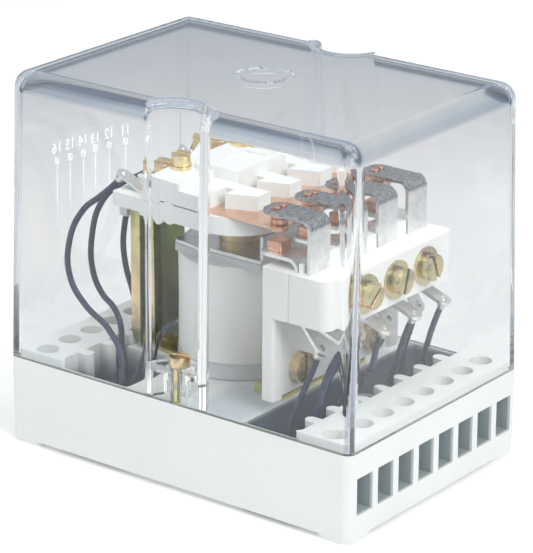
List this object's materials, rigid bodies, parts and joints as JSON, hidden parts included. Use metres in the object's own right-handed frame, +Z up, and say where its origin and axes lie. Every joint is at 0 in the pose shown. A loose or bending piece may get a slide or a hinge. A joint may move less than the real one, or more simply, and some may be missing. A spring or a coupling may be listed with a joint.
{
  "type": "electromechanical power relay",
  "caption": "Hinged-armature power relay with a round coil, a changeover contact stack and a clear cover over a base with screw terminals in both ends.",
  "frame": {"origin": "centre of the footprint, on the plane of the feet", "axes": "+X along the base towards the contact block's terminals, +Y across the base towards the back, +Z up out of the base"},
  "size_m": [0.106, 0.072, 0.0974],
  "materials": {
    "base_plastic": "moulded, fine satin, cool off-white",
    "cover_clear": "clear, polished, faintly blue",
    "yellow_zinc": "yellow passivated zinc with a rainbow sheen",
    "bright_steel": "zinc plated, dull bright",
    "tinned_strip": "tinned strip, grainy satin with bright edges",
    "spring_bronze": "rolled copper-bronze spring strip",
    "contact_copper": "turned copper, slightly tarnished",
    "carrier_plastic": "moulded, white, satin",
    "block_plastic": "moulded, warm white, satin",
    "bobbin_plastic": "moulded, grey, satin",
    "coil_wrap": "white wrapping tape, smooth satin",
    "wire_cover": "dark blue-black insulation, satin"
  },
  "bodies": {
    "frame": {"base_moulding": "base_plastic", "cover": "cover_clear", "cover_screws": "yellow_zinc", "terminal_clamps_left": "bright_steel", "terminal_clamps_right": "bright_steel", "terminal_screws_left": "bright_steel", "terminal_screws_right": "bright_steel", "yoke": "yellow_zinc", "core": "yellow_zinc", "core_screw": "bright_steel", "coil_bobbin": "bobbin_plastic", "coil_winding": "coil_wrap", "coil_plate": "bright_steel", "return_spring": "bright_steel", "upper_bracket_1": "tinned_strip", "upper_bracket_2": "tinned_strip", "upper_bracket_3": "tinned_strip", "upper_bracket_4": "tinned_strip", "upper_contacts": "contact_copper", "lower_bracket_1": "tinned_strip", "lower_bracket_2": "tinned_strip", "lower_bracket_3": "tinned_strip", "lower_bracket_4": "tinned_strip", "lower_contacts": "contact_copper", "block_inner": "block_plastic", "block_middle": "block_plastic", "block_outer": "block_plastic", "block_washers": "yellow_zinc", "block_screws": "yellow_zinc", "support_bracket": "yellow_zinc", "support_screws": "yellow_zinc", "wire_right_1": "wire_cover", "wire_right_2": "wire_cover", "wire_right_3": "wire_cover", "wire_right_4": "wire_cover", "wire_right_5": "wire_cover", "wire_right_6": "wire_cover", "wire_right_7": "wire_cover", "wire_left_1": "wire_cover", "wire_left_2": "wire_cover", "wire_left_3": "wire_cover", "wire_left_4": "wire_cover", "coil_lead_1": "wire_cover", "coil_lead_2": "wire_cover"},
    "armature": {"armature": "bright_steel", "armature_rivets": "bright_steel", "carrier_lower": "carrier_plastic", "carrier_upper": "carrier_plastic", "carrier_washers": "yellow_zinc", "carrier_screws": "yellow_zinc", "moving_spring_1": "spring_bronze", "moving_spring_2": "spring_bronze", "moving_spring_3": "spring_bronze", "moving_spring_4": "spring_bronze", "moving_contacts": "contact_copper"}
  },
  "joints": [
    {"name": "armature_hinge", "type": "hinge", "parent": "frame", "child": "armature", "pos_m": [-0.0317, 0, 0.0603], "axis": [0, 1, 0], "range_deg": [0, 2.2], "stiffness_Nm_per_rad": 0.3, "springref_deg": -5.73, "deforming": ["return_spring", "wire_left_1", "wire_left_2", "wire_left_3", "wire_left_4"]}
  ]
}
